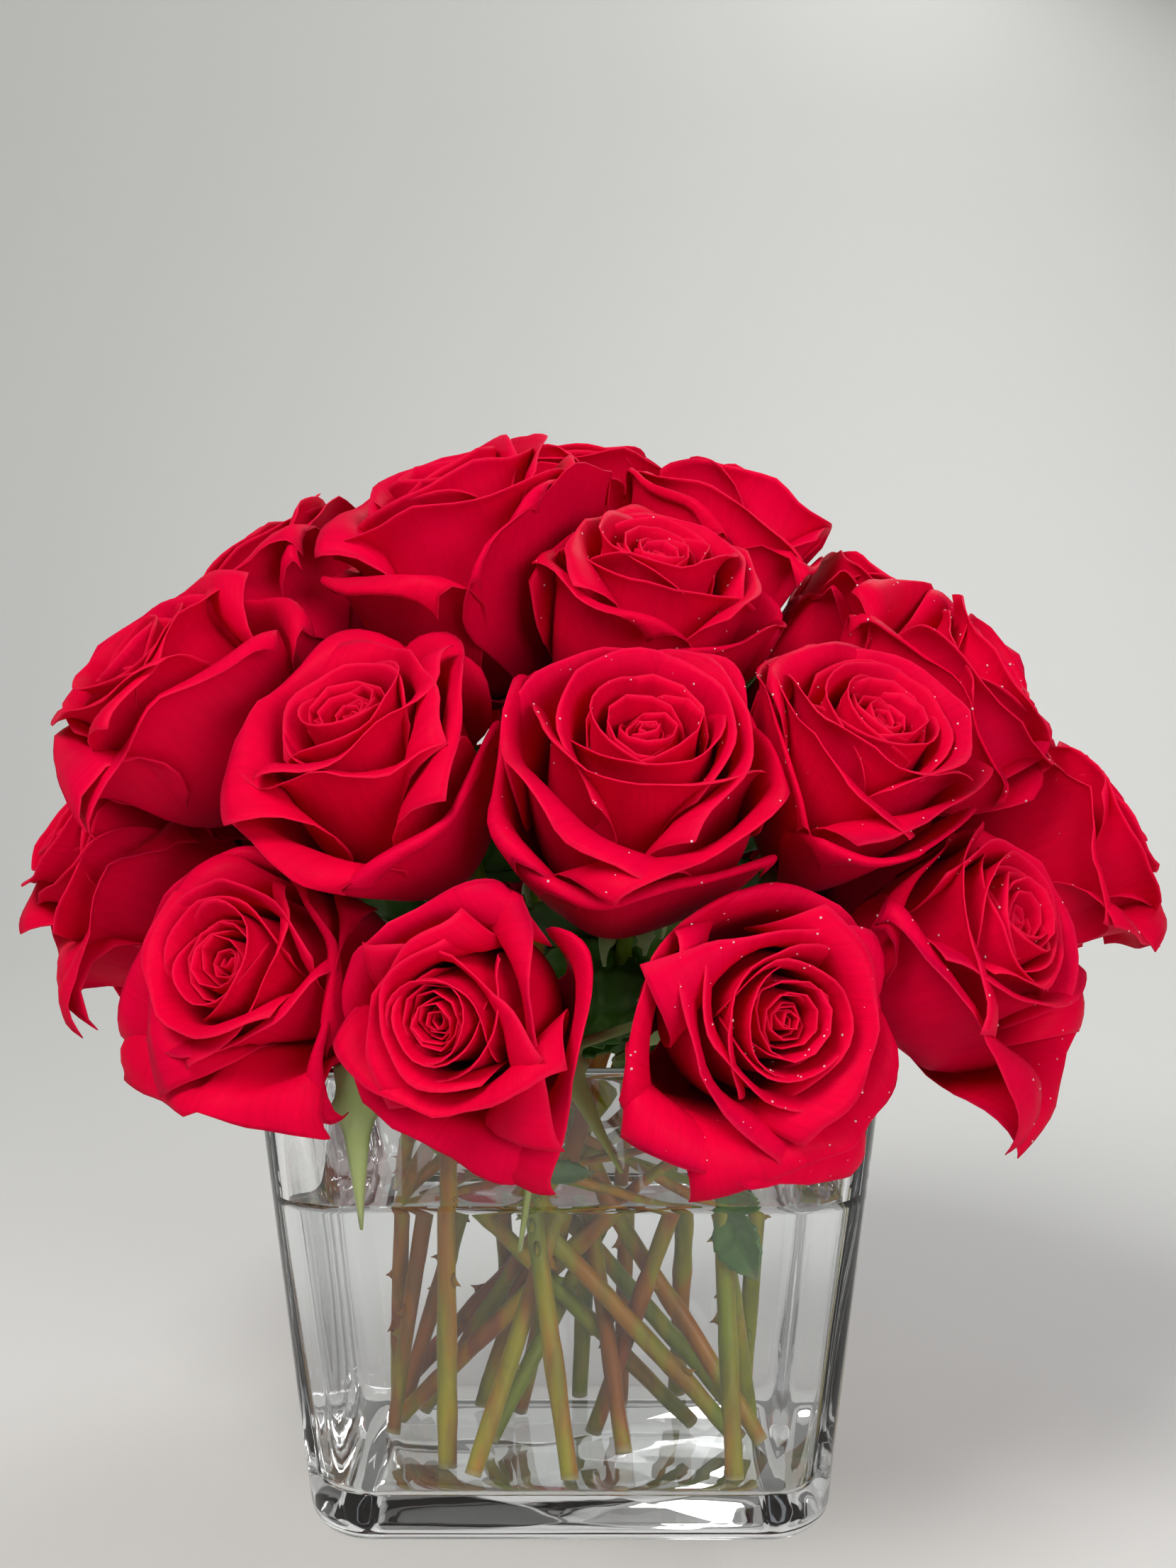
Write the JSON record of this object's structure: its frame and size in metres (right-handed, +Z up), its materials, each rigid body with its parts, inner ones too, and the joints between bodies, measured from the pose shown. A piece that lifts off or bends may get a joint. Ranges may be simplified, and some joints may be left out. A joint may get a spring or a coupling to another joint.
{
  "type": "roses in a square glass vase",
  "caption": "Low dome of half-open crimson roses in a clear square glass vase, wider at the mouth, with crossing stems in water.",
  "frame": {"origin": "centre of the vase's flat foot, on the surface it stands on", "axes": "+Z up out of the mouth of the vase; the pictured front looks towards -Y, with +X to its right"},
  "size_m": [0.2601, 0.2276, 0.2421],
  "materials": {
    "glass": "clear thick pressed glass, polished",
    "water": "clear still water",
    "stem": "smooth olive and red-brown rose stems with green sepals",
    "petal": "velvety crimson petals"
  },
  "bodies": {
    "root": {"vase": "glass", "water": "water", "stem_01": "stem", "stem_02": "stem", "stem_03": "stem", "stem_04": "stem", "stem_05": "stem", "stem_06": "stem", "stem_07": "stem", "stem_08": "stem", "stem_09": "stem", "stem_10": "stem", "stem_11": "stem", "stem_12": "stem", "stem_13": "stem", "stem_14": "stem", "stem_15": "stem", "stem_16": "stem", "stem_17": "stem", "stem_18": "stem", "stem_19": "stem", "stem_20": "stem", "stem_21": "stem", "stem_22": "stem", "stem_23": "stem", "stem_24": "stem", "stem_25": "stem", "bloom_01": "petal", "bloom_02": "petal", "bloom_03": "petal", "bloom_04": "petal", "bloom_05": "petal", "bloom_06": "petal", "bloom_07": "petal", "bloom_08": "petal", "bloom_09": "petal", "bloom_10": "petal", "bloom_11": "petal", "bloom_12": "petal", "bloom_13": "petal", "bloom_14": "petal", "bloom_15": "petal", "bloom_16": "petal", "bloom_17": "petal", "bloom_18": "petal", "bloom_19": "petal", "bloom_20": "petal", "bloom_21": "petal", "bloom_22": "petal", "bloom_23": "petal", "bloom_24": "petal", "bloom_25": "petal"}
  },
  "joints": []
}
